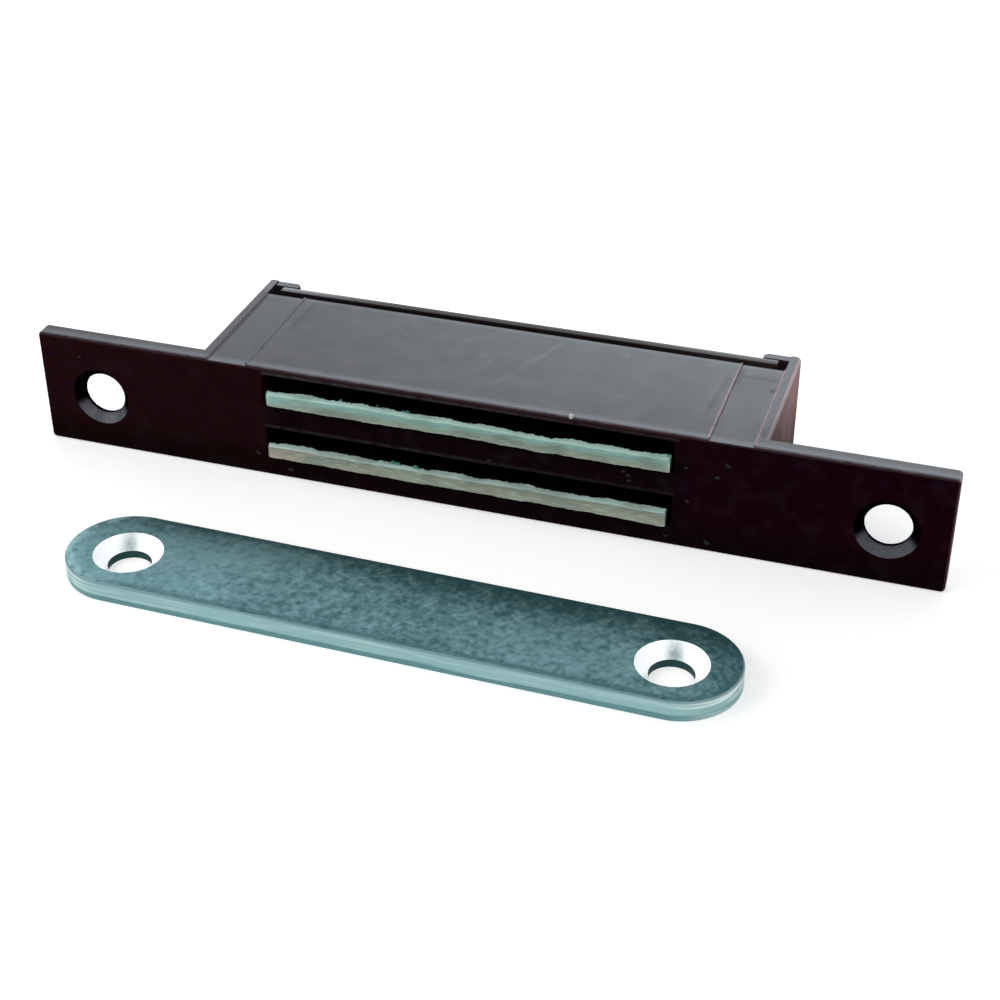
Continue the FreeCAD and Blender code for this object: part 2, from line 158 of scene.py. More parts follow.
# Places of the sockets of a colour Mix node, whose names repeat.
MIX_FACTOR = 0
MIX_FIRST = 6
MIX_SECOND = 7
MIX_RESULT = 2


# Settings

def colour_setting(name, description, default):
    return bpy.props.FloatVectorProperty(
        name=name, description=description, default=default, size=3, min=0.0, max=1.0,
        subtype="COLOR")


def length_setting(name, description, millimetres):
    return bpy.props.FloatProperty(
        name=name, description=description, default=millimetres * MM, precision=6, unit="LENGTH")


def angle_setting(name, description, degrees):
    return bpy.props.FloatProperty(
        name=name, description=description, default=math.radians(degrees), subtype="ANGLE")


def share_setting(name, description, default):
    return bpy.props.FloatProperty(
        name=name, description=description, default=default, min=0.0, max=1.0, subtype="FACTOR")


def number_setting(name, description, default):
    return bpy.props.FloatProperty(name=name, description=description, default=default, min=0.0)


def count_setting(name, description, default):
    return bpy.props.IntProperty(name=name, description=description, default=default, min=0)


class PlasticSettings(bpy.types.PropertyGroup):
    front_colour: colour_setting("Front, right", "Right end of the front", (0.0098, 0.0012, 0.0028))
    front_left_colour: colour_setting("Front, left", "Its left end", (0.016, 0.0042, 0.0046))
    front_low_colour: colour_setting("Front, foot", "Foot of that face, and between the slots",
                                     (0.0050, 0.0024, 0.0024))
    haze_colour: colour_setting("Front haze", "Violet patches of it", (0.0095, 0.0030, 0.0085))
    # Painted highlight on the slots' upper rims; the front's mottle takes the same colour.
    rim_colour: colour_setting("Slot rims", "Rubbed rims of the slots", (0.048, 0.042, 0.045))
    arris_colour: colour_setting("Front arris", "Arris above the face", (0.030, 0.0022, 0.0075))
    flank_colour: colour_setting("Countersinks", "Lit flanks of the holes", (0.010, 0.012, 0.016))
    # Painted shade in the deep insides, the holes' shaded flanks and the front part of the back
    # cover.
    painted_shade_colour: colour_setting("Black", "Deep insides and shaded flanks", (0.001, 0.0008, 0.0008))
    body_colour: colour_setting("Body", "Top, back and underside", (0.026, 0.019, 0.020))
    cover_colour: colour_setting("Cover", "Back cover", (0.050, 0.034, 0.036))
    # The side walls run from this colour at the foot to a painted pink sheen at the top.
    side_low_colour: colour_setting("Sides, foot", "Foot of the side walls", (0.045, 0.030, 0.028))
    side_sheen_colour: colour_setting("Sides, top", "Top of the side walls", (0.40, 0.235, 0.225))
    # Painted highlights on the seam ridges, pink on the right and grey on the left; the pink also
    # tints the top's mottle and paints light on the faceplate's right end and the right wall's
    # arris.
    seam_highlight_colour: colour_setting("Right seams", "Mould seams rubbed pink", (0.36, 0.22, 0.235))
    left_seam_highlight_colour: colour_setting("Left seams", "Mould seams on the left", (0.17, 0.17, 0.18))
    # Painted light on the flanks of the left grooves and on the steps beside the sunk strips, which
    # render dark in their creases.
    groove_light_colour: colour_setting("Groove", "Flanks of the left grooves", (0.38, 0.38, 0.395))
    step_light_colour: colour_setting("Steps", "Sides of the sunk strips", (0.21, 0.18, 0.18))
    # Scratches and rubbed spots, and painted highlights behind the front arris and along the
    # panel's rear edge.
    scuff_and_highlight_colour: colour_setting("Scuffs", "Scratches and rubbed bands", (0.30, 0.31, 0.34))
    gloss: share_setting("Gloss", "Weight of the satin skin off the front face", 0.80)
    cover_gloss: share_setting("Cover gloss", "Weight of that skin on the back cover", 0.34)
    side_gloss: share_setting("Side gloss", "Weight of that skin on the side walls", 0.05)
    skin_roughness: share_setting("Skin roughness", "Roughness of that skin", 0.26)
    grain: length_setting("Grain", "Size of the moulded texture", 0.28)
    # Span of the painted highlight behind the front arris.
    arris_highlight_start: length_setting("Band start", "Where the rubbed band behind the arris starts", 0.45)
    arris_highlight_end: length_setting("Band end", "Where that band has faded out", 1.7)


class PoleSettings(bpy.types.PropertyGroup):
    cool_colour: colour_setting("Cool", "Plating where it reads green", (0.30, 0.50, 0.44))
    warm_colour: colour_setting("Warm", "Plating rubbed to grey", (0.365, 0.390, 0.315))
    # Bright shear lines on the faces, and a painted highlight on the rolled edge.
    shear_and_highlight_colour: colour_setting("Bright", "Burnished rolled edge", (0.46, 0.60, 0.55))
    pink_colour: colour_setting("Pink", "Left end of the lower bar", (0.42, 0.335, 0.305))
    roll_colour: colour_setting("Roll", "Lit top of the rolled edge", (0.47, 0.66, 0.59))
    # Painted shade: the bars' faces inside the slots are painted near black.
    slot_shade_colour: colour_setting("Inside", "Unplated faces in the slots", (0.0014, 0.0015, 0.0015))
    roughness: share_setting("Roughness", "Mean roughness of the plating", 0.42)
    station: length_setting("Station", "Distance between sections along a bar", 0.3)
    wander: length_setting("Wander", "How far the sheared edges stray", 0.13)
    edge_round: length_setting("Edge round", "Radius of the rolled edges", 0.22)
    roll_depth: length_setting("Roll depth", "How far back the top front edge is rolled", 0.80)
    roll_height: length_setting("Roll height", "How far down that roll reaches", 0.33)
    round_steps: count_setting("Round steps", "Faces across each rolled edge", 7)
    burr_colour: colour_setting("Burrs", "Torn crumbs on the bars' top edges", (0.080, 0.27, 0.225))
    burr_size: length_setting("Burr size", "Largest crumb", 0.72)


class StrikeSettings(bpy.types.PropertyGroup):
    dark_colour: colour_setting("Dark", "Dull patches of the plating", (0.050, 0.135, 0.143))
    light_colour: colour_setting("Light", "Clean patches of the plating", (0.225, 0.388, 0.398))
    # Fine scratches, and the painted highlight along the rim of the left end.
    scratch_and_rim_highlight_colour: colour_setting("Scratches", "Fine scratches", (0.42, 0.63, 0.64))
    rim_colour: colour_setting("Rim", "Dull line inside the top's edge", (0.060, 0.150, 0.155))
    edge_colour: colour_setting("Edge", "Burnished part of the blanked edge", (0.285, 0.465, 0.470))
    # Draw lines along the edge; at the rounded ends they are strengthened into a painted highlight.
    streak_and_highlight_colour: colour_setting("Edge streaks", "Draw lines along that edge", (0.68, 0.78, 0.78))
    torn_colour: colour_setting("Torn edge", "Darker foot of the blanked edge", (0.13, 0.27, 0.285))
    # Cut metal painted near white, which stands in for its highlight; the glint adds a painted
    # glow.
    cut_metal_highlight_colour: colour_setting("Countersinks", "Bright cut metal", (0.97, 0.99, 0.99))
    glint: share_setting("Glint", "How far the cut metal outshines its lit colour", 0.34)
    # Painted dark reflection: a streak on the countersinks' far flanks, which also loses its coat
    # and glow.
    far_flank_reflection_colour: colour_setting("Chatter", "Streak on their far flanks", (0.12, 0.24, 0.255))
    # Painted shade on the bore walls.
    bore_shade_colour: colour_setting("Bores", "Dull bore walls", (0.003, 0.045, 0.047))
    roughness: share_setting("Roughness", "Mean roughness of the plating", 0.45)
    turn: angle_setting("Turn", "Turn of the plate as it lies", -0.87)
    mottle: length_setting("Mottle", "Size of the plating's patches", 1.1)
    torn_height: length_setting("Torn height", "Height of the edge's darker foot", 0.6)


class FleckSettings(bpy.types.PropertyGroup):
    colour: colour_setting("Colour", "Lint and dust on the front face", (0.026, 0.028, 0.025))
    chip_colour: colour_setting("Chip", "Bright chip on the top arris", (0.62, 0.66, 0.64))
    size: length_setting("Size", "Largest fleck", 0.85)


class StageSettings(bpy.types.PropertyGroup):
    floor_colour: colour_setting("Floor", "Table top", (0.915, 0.90, 0.885))
    floor_glow: share_setting("Floor glow", "White added to the floor as it is seen", 0.36)
    far_glow: share_setting("Far floor glow", "White added to the floor away from the object", 0.70)
    room_colour: colour_setting("Room", "Light from all around", (0.92, 0.96, 1.0))
    room_level: number_setting("Room level", "Strength of the light from all around", 0.42)
    key_level: number_setting("Key level", "Radiance of the two lamps in front", 2.4)
    card_level: number_setting("Card level", "Radiance of the lamp that the top mirrors", 2.66)
    card_colour: colour_setting("Card colour", "Tint of that lamp", (0.80, 0.915, 1.0))
    distance: length_setting("Distance", "From the camera to the foot of the faceplate", 211.9)
    azimuth: angle_setting("Azimuth", "Turn of the camera to the right", 18.05)
    elevation: angle_setting("Elevation", "Height of the camera", 32.94)
    roll: angle_setting("Roll", "Tilt of the picture", -0.14)
    aim_right: length_setting("Aim right", "Aim to the right of the foot of the faceplate", 3.37)
    aim_up: length_setting("Aim up", "Aim above the foot of the faceplate", 1.11)
    focal_length: bpy.props.FloatProperty(
        name="Focal length", description="Lens on a 36 mm frame", default=68.10,
        subtype="DISTANCE_CAMERA")


# Shader maths

class Term:
    """A number in a node tree. Sums, products and powers of terms add the Math nodes."""

    def __init__(self, finish, socket):
        self.finish = finish
        self.socket = socket

    def maths(self, operation, first, second=0.0):
        node = self.finish.node("ShaderNodeMath", {"operation": operation}, {0: first, 1: second})
        return Term(self.finish, node.outputs[0])

    def __add__(self, other):
        return self.maths("ADD", self, other)

    def __sub__(self, other):
        return self.maths("SUBTRACT", self, other)

    def __mul__(self, other):
        return self.maths("MULTIPLY", self, other)

    def __truediv__(self, other):
        return self.maths("DIVIDE", self, other)

    def __pow__(self, other):
        return self.maths("POWER", self, other)

    def __radd__(self, other):
        return self.maths("ADD", other, self)

    def __rsub__(self, other):
        return self.maths("SUBTRACT", other, self)

    def __rmul__(self, other):
        return self.maths("MULTIPLY", other, self)

    def __neg__(self):
        return self.maths("MULTIPLY", self, -1.0)

    def __abs__(self):
        return self.maths("ABSOLUTE", self)

    def most(self, other):
        return self.maths("MAXIMUM", self, other)

    def rise(self, start, end):
        """0 before start and 1 past end, eased between them; it falls where start is past end."""
        node = self.finish.node("ShaderNodeMapRange", {"interpolation_type": "SMOOTHSTEP"},
                                {"Value": self, "From Min": start, "From Max": end})
        return Term(self.finish, node.outputs["Result"])

    def near(self, middle, reach):
        """1 at middle, easing to 0 at reach to either side of it."""
        return abs(self - middle).rise(reach, 0.0)

    def band(self, start, end, soft):
        """1 between start and end, easing to 0 over soft on both sides."""
        return self.rise(start - soft, start + soft) * self.rise(end + soft, end - soft)


def strongest(masks):
    """The greatest of several terms."""
    greatest = masks[0]
    for mask in masks[1:]:
        greatest = greatest.most(mask)
    return greatest


def metres(pair):
    """A pair of millimetres in metres."""
    return tuple(part * MM for part in pair)


class Wiring:
    """A node tree while its nodes are laid."""

    def node(self, kind, settings=None, values=None):
        """Add a node: its settings first, then the values or links of its sockets."""
        node = self.tree.nodes.new(kind)
        for name, value in (settings or {}).items():
            setattr(node, name, value)
        for name, value in (values or {}).items():
            self.feed(node.inputs[name], value)
        return node

    def feed(self, socket, value):
        """Link a socket to a term or another socket, or set the value of its own."""
        if isinstance(value, Term):
            value = value.socket
        if isinstance(value, bpy.types.NodeSocket):
            self.tree.links.new(value, socket)
        elif socket.type == "RGBA":
            socket.default_value = (*value[:3], 1.0)
        else:
            socket.default_value = value


class Finish(Wiring):
    """A material while its nodes are laid."""

    def __init__(self, name):
        self.material = bpy.data.materials.new(name)
        self.material.use_nodes = True
        self.tree = self.material.node_tree
        self.tree.nodes.clear()
        self.coordinates = self.node("ShaderNodeTexCoord")

    def parts(self, output):
        """The three parts of the Object coordinates or of the Normal."""
        vector = self.coordinates.outputs[output]
        node = self.node("ShaderNodeSeparateXYZ", values={"Vector": vector})
        return [Term(self, socket) for socket in node.outputs]

    def place(self, turn=0.0, stretch=(1.0, 1.0, 1.0)):
        """Object coordinates turned about Z, on which patterns are drawn out by stretch."""
        node = self.node("ShaderNodeMapping", {"vector_type": "TEXTURE"}, {
            "Vector": self.coordinates.outputs["Object"],
            "Rotation": (0.0, 0.0, turn),
            "Scale": stretch,
        })
        return node.outputs["Vector"]

    def noise(self, grain, detail=2.0, turn=0.0, stretch=(1.0, 1.0, 1.0)):
        """Cloudy pattern from 0 to 1, with lumps about grain across."""
        node = self.node("ShaderNodeTexNoise", values={
            "Vector": self.place(turn, stretch), "Scale": 1 / grain, "Detail": detail})
        return Term(self, node.outputs["Fac"])

    def cells(self, grain):
        """Distance from the middles of random cells, which are about grain across."""
        node = self.node("ShaderNodeTexVoronoi", {"feature": "F1"}, {
            "Vector": self.place(), "Scale": 1 / grain})
        return Term(self, node.outputs["Distance"])

    def blend(self, factor, first, second):
        """The first colour where factor is 0, and the second where it is 1."""
        node = self.node("ShaderNodeMix", {"data_type": "RGBA"}, {
            MIX_FACTOR: factor, MIX_FIRST: first, MIX_SECOND: second})
        return node.outputs[MIX_RESULT]

    def coats(self, colour, *coats):
        """A colour under coats of others, each of them a mask and a colour."""
        for mask, coat in coats:
            colour = self.blend(mask, colour, coat)
        return colour

    def stroke(self, along, aside, start, end, width):
        """Mask of a straight mark from start to end, each a pair of distances in metres."""
        run = Vector(end) - Vector(start)
        unit = run.normalized()
        forward = (along - start[0]) * unit.x + (aside - start[1]) * unit.y
        sideways = (aside - start[1]) * unit.x - (along - start[0]) * unit.y
        return forward.band(0.0, run.length, width) * abs(sideways).rise(width, 0.0)

    def spot(self, along, aside, middle, reach):
        """Mask of a soft oval patch about middle, with its reach along each way."""
        first = (along - middle[0]) / reach[0]
        second = (aside - middle[1]) / reach[1]
        return (first * first + second * second).rise(1.0, 0.0)

    def bump(self, height, depth):
        """Normal of a surface that is raised by height times depth."""
        node = self.node("ShaderNodeBump", values={"Height": height, "Distance": depth})
        return node.outputs["Normal"]

    def surface(self, values):
        """End the material in a Principled shader and return it."""
        shader = self.node("ShaderNodeBsdfPrincipled", values=values)
        self.node("ShaderNodeOutputMaterial", values={"Surface": shader.outputs["BSDF"]})
        return self.material


# Materials

def mount(name):
    """Entry of the record's mounts that has this name."""
    for entry in frame["record"]["mounts"]:
        if entry["name"] == name:
            return entry
    raise KeyError(name)


def about_holes(across, aside, name, start, end):
    """Mask of what lies round the two holes of a mount, which are spaced along X."""
    holes = mount(name)
    middle_x, middle_y, middle_z = holes["pos_m"]
    middle = middle_z if name == "faceplate_screws" else middle_y
    spacing = holes["dims"].get("spacing_x_mm", holes["dims"].get("pcd_mm"))
    run = abs(across - middle_x) - spacing * MM / 2
    rise = aside - middle
    return (run * run + rise * rise).rise(end * end, start * start)


def marks(finish, across, back, strokes, spots):
    """Mask of two tables of marks on the top, the strongest where they cross."""
    masks = []
    for start, end, width, level in strokes:
        stroke = finish.stroke(across, back, metres(start), metres(end), width * MM)
        masks.append(stroke * level)
    for middle, reach, level in spots:
        masks.append(finish.spot(across, back, metres(middle), metres(reach)) * level)
    return strongest(masks)


def slot_rim_highlights(across, up):
    """Mask of the painted highlights on the rims that run over the two slots in the front face."""
    rims = []
    for side, level in (("lower", 0.5), ("upper", 1.0)):
        low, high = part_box(f"pole_plate_{side}")
        middle_x = (low.x + high.x) / 2
        half = (high.x - low.x) / 2 + SLOT_END_GAP
        beside = abs(across - middle_x).rise(half + 0.4 * MM, half)
        rims.append((up - high.z).near(SLOT_LIFT + 0.20 * MM, 0.34 * MM) * beside * level)
    return strongest(rims)


def front_finish(finish, look, across, up, height, mottle):
    """Colour of the faceplate's front: sooty red, paler to the left and black at its foot, with
    painted highlights on the slots' rims.
    """
    between = abs(across).rise(25.5 * MM, 23.5 * MM) * height.rise(0.85, 0.75)
    haze = finish.noise(1.3 * MM, detail=3.0).rise(0.42, 0.66) * height.rise(0.1, 0.5)
    # Painted highlight along the slots' upper rims.
    rims = slot_rim_highlights(across, up) * finish.noise(1.6 * MM).rise(0.2, 0.6)
    rims = rims * (1 - 0.5 * across.rise(-8 * MM, 16 * MM))
    return finish.coats(
        look.front_left_colour,
        (across.rise(-20 * MM, 45 * MM), look.front_colour),
        (height.rise(0.42, 0.05).most(between) * 0.85, look.front_low_colour),
        (haze * 0.6, look.haze_colour),
        (rims * 0.95, look.rim_colour),
        (mottle.rise(0.45, 0.8) * 0.10, look.rim_colour),
    )


def side_finish(finish, look, back, height):
    """Colour of the side walls as painted sheen: pink towards top and rear, brown towards foot and
    front.
    """
    streaks = finish.noise(2.2 * MM, detail=3.0, stretch=(1.0, 1.0, 3.0))
    # Painted sheen, growing towards top and rear, with streaks.
    rub = height * 0.62 + back.rise(3 * MM, 17 * MM) * 0.38 + 0.42 * (streaks - 0.5)
    rear_foot = back.rise(19.0 * MM, 20.3 * MM) * height.rise(1.0, 0.4)
    return finish.coats(
        look.side_low_colour,
        (rub.rise(0.40, 1.05), look.side_sheen_colour),
        (rear_foot * 0.7, look.body_colour),
    )


def seam_masks(across, back, up, normal, top):
    """Masks of where painted highlights and light go: the top's seams, their steps and grooves, and
    the right wall's arris.
    """
    aside, behind, _above = normal
    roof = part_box("housing")[1].z
    off_arris = back.rise(0.30 * MM, 0.38 * MM)
    on_panel = back.rise(PANEL_REAR + 0.1 * MM, PANEL_REAR)
    seam = abs(across).near(INNER_SEAM, 0.34 * MM).most(abs(across).near(OUTER_SEAM, 0.30 * MM))
    seam_end = (-behind).rise(0.5, 0.8) * up.rise(roof - 0.30 * MM, roof - 0.24 * MM)
    seam = seam * top.most(seam_end) * off_arris * on_panel
    step = abs(aside).rise(0.3, 0.6) * abs(across).near(OUTER_SEAM, 0.6 * MM)
    step = step * up.rise(roof - 0.5 * MM, roof - 0.4 * MM) * off_arris * on_panel
    groove = aside.rise(0.3, 0.6) * across.near(-INNER_SEAM, 0.5 * MM) * top * on_panel
    wall_arris_highlight = across.near(BOX_SIDE - 0.1 * MM, 0.4 * MM) * top * back.rise(1.9 * MM, 2.1 * MM)
    return seam, step, groove, wall_arris_highlight


def gloss_slope(across, back, in_hole):
    """How the skin's gloss grows to the right on the housing, and to the left in its holes."""
    slope = 0.95 + across * (0.0095 / MM) + 0.08 * across.rise(-24 * MM, -27 * MM)
    slope = slope + 0.30 * across.rise(-26 * MM, -31 * MM) * back.rise(17 * MM, 19 * MM)
    return slope * (1 - in_hole) + (0.30 - across * (0.0048 / MM)) * in_hole


def housing_plastic(look):
    """Dark moulding: soot-dark faceplate front, satin skin elsewhere, painted highlights and light
    on arrises, seams, steps, side walls and slot rims, and painted shade inside the slots and
    holes.
    """
    finish = Finish("housing_plastic")
    across, back, up = finish.parts("Object")
    normal = finish.parts("Normal")
    aside, behind, above = normal
    low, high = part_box("housing")
    pack_low, pack_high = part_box("magnet")
    height = (up - low.z) / (high.z - low.z)
    mottle = finish.noise(2.6 * MM, detail=3.0)
    grain = finish.noise(look.grain, detail=2.0)
    ragged = finish.noise(0.9 * MM, detail=3.0) - 0.5

    in_hole = about_holes(across, up, "faceplate_screws", *HOUSING_SINK)
    facing = (-behind).rise(0.80, 0.97)
    front = facing * back.rise(0.3 * MM, 0.2 * MM)
    rolled = back.rise(0.55 * MM, 0.45 * MM) * (0.5 * ragged - behind).rise(0.48, 0.66)
    rolled = rolled * (1 - in_hole)
    arris = rolled * (1 - facing)
    upward = above.rise(0.20, 0.45)
    top = above.rise(0.30, 0.60) * up.rise(high.z - 1.0 * MM, high.z - 0.5 * MM)
    outside = abs(across).rise(BOX_SIDE - 0.6 * MM, BOX_SIDE - 0.35 * MM)
    side = abs(aside).rise(0.30, 0.60) * outside * back.rise(1.9 * MM, 2.0 * MM)
    plate_end = across.rise(high.x - 0.30 * MM, high.x - 0.12 * MM)
    inside = abs(across - (pack_low.x + pack_high.x) / 2).rise(24.9 * MM, 24.5 * MM)
    inside = inside * abs(up).rise(high.z - 0.5 * MM, high.z - 0.7 * MM)
    inside = inside * back.rise(PANEL_REAR, 15 * MM)
    slot_end = aside.rise(0.3, 0.7) * back.rise(2.2 * MM, 1.8 * MM) * inside
    deep = inside * (1 - slot_end)
    shaded = above.rise(0.35, 0.15).most(behind.rise(-0.5, -0.3)) * in_hole
    seam, step, groove, wall_arris_highlight = seam_masks(across, back, up, normal, top)
    rightward = across.rise(-INNER_SEAM, INNER_SEAM)
    seam_highlight_colour = finish.blend(rightward, look.left_seam_highlight_colour, look.seam_highlight_colour)

    # Painted highlight on the seam ridges, stronger and weaker in patches.
    seam_highlights = seam * 0.8 * (0.65 + 0.7 * ragged.rise(-0.2, 0.2))
    # Painted highlight in a band behind the front arris; it joins the scratches and rubbed spots as
    # lighter marks on the top.
    band = back.rise(look.arris_highlight_end, look.arris_highlight_start)
    light = marks(finish, across, back, SCRATCHES, RUBBED_SPOTS).most(band * 0.30) * upward
    colour = finish.coats(
        look.body_colour,
        # The top's mottle, tinted with the pink of the seams' painted highlight.
        (mottle.rise(0.35, 0.75) * 0.04, look.seam_highlight_colour),
        (in_hole, look.flank_colour),
        # Painted light on the steps, the seam ridges, the left grooves and the right wall's arris.
        (step, look.step_light_colour),
        (seam_highlights.most(wall_arris_highlight * 0.6), seam_highlight_colour),
        (groove, look.groove_light_colour),
        (side, side_finish(finish, look, back, height)),
        # Painted light on the faceplate's right end.
        (plate_end * 0.35, look.seam_highlight_colour),
        (light * grain.rise(0.05, 0.5), look.scuff_and_highlight_colour),
        # Painted shade: the insides seen through the slots, all but their end walls, and the holes'
        # shaded flanks are painted black.
        (deep.most(shaded), look.painted_shade_colour),
        (slot_end, look.front_left_colour),
        (arris * 0.9, look.arris_colour),
        (front, front_finish(finish, look, across, up, height, mottle)),
    )

    skin = upward * look.gloss + side * look.side_gloss
    skin = skin.most(behind.rise(0.5, 0.8) * look.gloss * 0.5)
    skin = skin * (1 - front) * (1 - rolled) * (1 - deep) * (1 - shaded) * (1 - slot_end)
    skin = skin * (1 - 0.75 * seam * across.rise(INNER_SEAM, -INNER_SEAM))
    clouds = finish.noise(6 * MM).rise(0.45, 0.8) * 0.2
    dull = marks(finish, across, back, DULL_STROKES, DULL_SPOTS).most(clouds) * top
    skin = skin * (1 - 0.28 * dull) * (0.92 + 0.16 * mottle)
    return finish.surface({
        "Base Color": colour,
        "Roughness": 0.46 + grain * 0.12,
        "Specular IOR Level": 0.0,
        "Coat Weight": skin * gloss_slope(across, back, in_hole),
        "Coat Roughness": look.skin_roughness,
        "Coat IOR": 1.5,
        "Normal": finish.bump(grain + 0.5 * mottle, 0.004 * MM),
    })


def cover_plastic(look):
    """The same moulding, duller and browner, rubbed towards its rear edge and its ends, with
    painted shade over its front part.
    """
    finish = Finish("cover_plastic")
    across, back, _up = finish.parts("Object")
    _aside, behind, above = finish.parts("Normal")
    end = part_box("back_cover")[1].y
    mottle = finish.noise(1.6 * MM, detail=3.0)
    grain = finish.noise(look.grain, detail=2.0)
    rear = back.rise(end - 1.0 * MM, end - 0.1 * MM)
    ends = (-across).rise(15 * MM, 31 * MM) * 2.1 + across.rise(8 * MM, 28 * MM) * 1.2
    # Painted shade: the cover is painted black back to about a millimetre short of its rear edge,
    # half as strong to the right, and loses its coat there.
    inner = back.rise(end - 0.9 * MM, end - 1.3 * MM) * (1 - 0.5 * across.rise(12 * MM, 26 * MM))
    colour = finish.coats(
        look.cover_colour,
        (mottle.rise(0.4, 0.8) * 0.3, look.body_colour),
        (inner, look.painted_shade_colour),
    )
    skin = above.rise(0.3, 0.7).most(behind.rise(0.5, 0.8)) * (1 - inner)
    return finish.surface({
        "Base Color": colour,
        "Roughness": 0.5 + grain * 0.12,
        "Specular IOR Level": 0.0,
        "Coat Weight": skin * look.cover_gloss * (0.55 + 0.9 * rear) * (0.9 + ends),
        "Coat Roughness": look.skin_roughness,
        "Coat IOR": 1.5,
        "Normal": finish.bump(grain + mottle, 0.006 * MM),
    })


def pole_steel(look):
    """Plated bar stock: green-grey face rubbed to warm grey, a painted highlight on the rolled
    edge, and painted shade on the faces inside the slots.
    """
    finish = Finish("pole_steel")
    across, back, up = finish.parts("Object")
    _aside, _behind, above = finish.parts("Normal")
    low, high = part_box("pole_plate_upper")
    patches = finish.noise(2.2 * MM, detail=4.0, stretch=(1.8, 1.0, 1.0))
    shear = finish.noise(0.20 * MM, detail=1.0, stretch=(8.0, 1.0, 1.0))
    ragged = finish.noise(0.5 * MM, detail=3.0)
    swell = finish.noise(3.5 * MM, detail=1.0)

    upper = up.rise(low.z - MM, low.z - 0.5 * MM)
    height = (up - low.z) / (high.z - low.z)
    dull_cool = tuple(0.45 * part for part in look.cool_colour)
    dull_warm = tuple(part * share for part, share in zip(look.warm_colour, (0.74, 0.715, 0.69)))
    cool = (height * 1.1 + patches * 1.4 - 0.86).rise(0.05, 0.75) * upper
    cool = cool.most((patches - 0.1).rise(0.35, 0.6) * 0.30)
    pink = (-across).rise(11 * MM, 20 * MM) * patches.rise(0.35, 0.55) * (1 - upper)
    rolled = above.rise(0.25, 0.60) * shear.rise(0.9, 0.45)
    lit = above.rise(0.50, 0.85)
    bright = patches.rise(0.35, 0.60) * 0.75 + 0.20 * ragged
    edge = (ragged - 0.5) * 0.5 * MM + (swell - 0.5) * 1.1 * MM - 0.14 * MM
    # Painted shade: behind a ragged line near the faceplate's front, the bars are painted near
    # black, with no metal and more roughness.
    inside = (back - edge).rise(-0.06 * MM, 0.06 * MM)
    colour = finish.coats(
        dull_warm,
        (upper, look.warm_colour),
        (cool, look.cool_colour),
        (patches.rise(0.55, 0.35) * 0.40, dull_cool),
        (pink * 0.55, look.pink_colour),
        (shear.rise(0.50, 0.75) * 0.45, look.shear_and_highlight_colour),
        (shear.rise(0.45, 0.25) * 0.30, dull_cool),
        # Painted highlight on the rolled edge and its lit top, where the plating also gives up most
        # of its metal.
        (rolled * 0.40, look.shear_and_highlight_colour),
        (lit * bright, look.roll_colour),
        (inside, look.slot_shade_colour),
    )
    return finish.surface({
        "Base Color": colour,
        "Metallic": (1 - inside) * (1 - 0.85 * lit),
        "Roughness": look.roughness + 0.20 * (shear - 0.5) + 0.12 * (patches - 0.5) + 0.3 * inside,
        "Specular IOR Level": 0.0,
        "Normal": finish.bump(shear + patches, 0.02 * MM),
    })


def ferrite():
    """Sintered ferrite: matt charcoal with pits."""
    finish = Finish("ferrite")
    pits = finish.cells(0.35 * MM)
    cloud = finish.noise(1.4 * MM, detail=4.0)
    colour = finish.blend(cloud, (0.016, 0.016, 0.018), (0.045, 0.044, 0.046))
    return finish.surface({
        "Base Color": colour,
        "Roughness": 0.72 + 0.15 * cloud,
        "Normal": finish.bump(pits.rise(0.0, 0.4) + cloud, 0.02 * MM),
    })


def strike_tone(finish, across, back, patterns):
    """From dull to clean plating: clouds, mottle and speckle, with cleaner and more worn places."""
    low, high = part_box("strike_plate")
    middle = (low + high) / 2
    cloud, mottle, speckle = patterns
    patches = (
        ((low.x + 5 * MM, middle.y - 1 * MM), (24, 9), 0.30),
        ((-10 * MM, middle.y - 3 * MM), (24, 4), 0.03),
        ((18 * MM, middle.y - 2 * MM), (12, 5), 0.24),
        ((-19 * MM, middle.y + 3.5 * MM), (12, 4.5), 0.22),
        ((8 * MM, high.y), (27, 5.5), -0.30),
        ((high.x, middle.y + 3 * MM), (13, 9), -0.20),
    )
    tone = cloud * 0.35 + mottle + speckle * 0.60 - 0.50
    for place, reach, level in patches:
        tone = tone + finish.spot(across, back, place, metres(reach)) * level
    return tone


def strike_scratches(finish, cloud, mottle):
    """Mask of fine straight scratches, which show where the plating is clean."""
    scratches = []
    for turn, length in STRIKE_SCRATCHES:
        stretch = (length / SCRATCH_WIDTH, 1.0, 1.0)
        line = finish.noise(SCRATCH_WIDTH * MM, detail=0.0, turn=turn, stretch=stretch)
        scratches.append(line.rise(0.62, 0.80))
    return strongest(scratches) * cloud.rise(0.30, 0.6) * mottle.rise(0.25, 0.6)


def sink_far_flank_reflection(finish, across, level, up):
    """Mask of the painted dark reflection, a streak with fine lines on the far flank of each
    countersink of the strike plate, darker deeper in.
    """
    low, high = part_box("strike_plate")
    holes = mount("strike_screws")
    hole_y = holes["pos_m"][1]
    streaks = []
    for side in (-1, 1):
        hole_x = holes["pos_m"][0] + side * holes["dims"]["pcd_mm"] * MM / 2
        hole_x += (0.03 + 0.50 * side) * MM
        start = (hole_x - 0.55 * MM, hole_y + 1.7 * MM)
        end = (hole_x - 1.35 * MM, hole_y + 4.2 * MM)
        streaks.append(finish.stroke(across, level, start, end, 1.75 * MM))
    lines = finish.noise(0.25 * MM, detail=1.0, stretch=(1.0, 1.0, 20.0))
    deepening = 0.55 + 0.45 * up.rise(high.z, low.z + MM)
    return strongest(streaks) * deepening * (0.75 + 0.5 * lines)


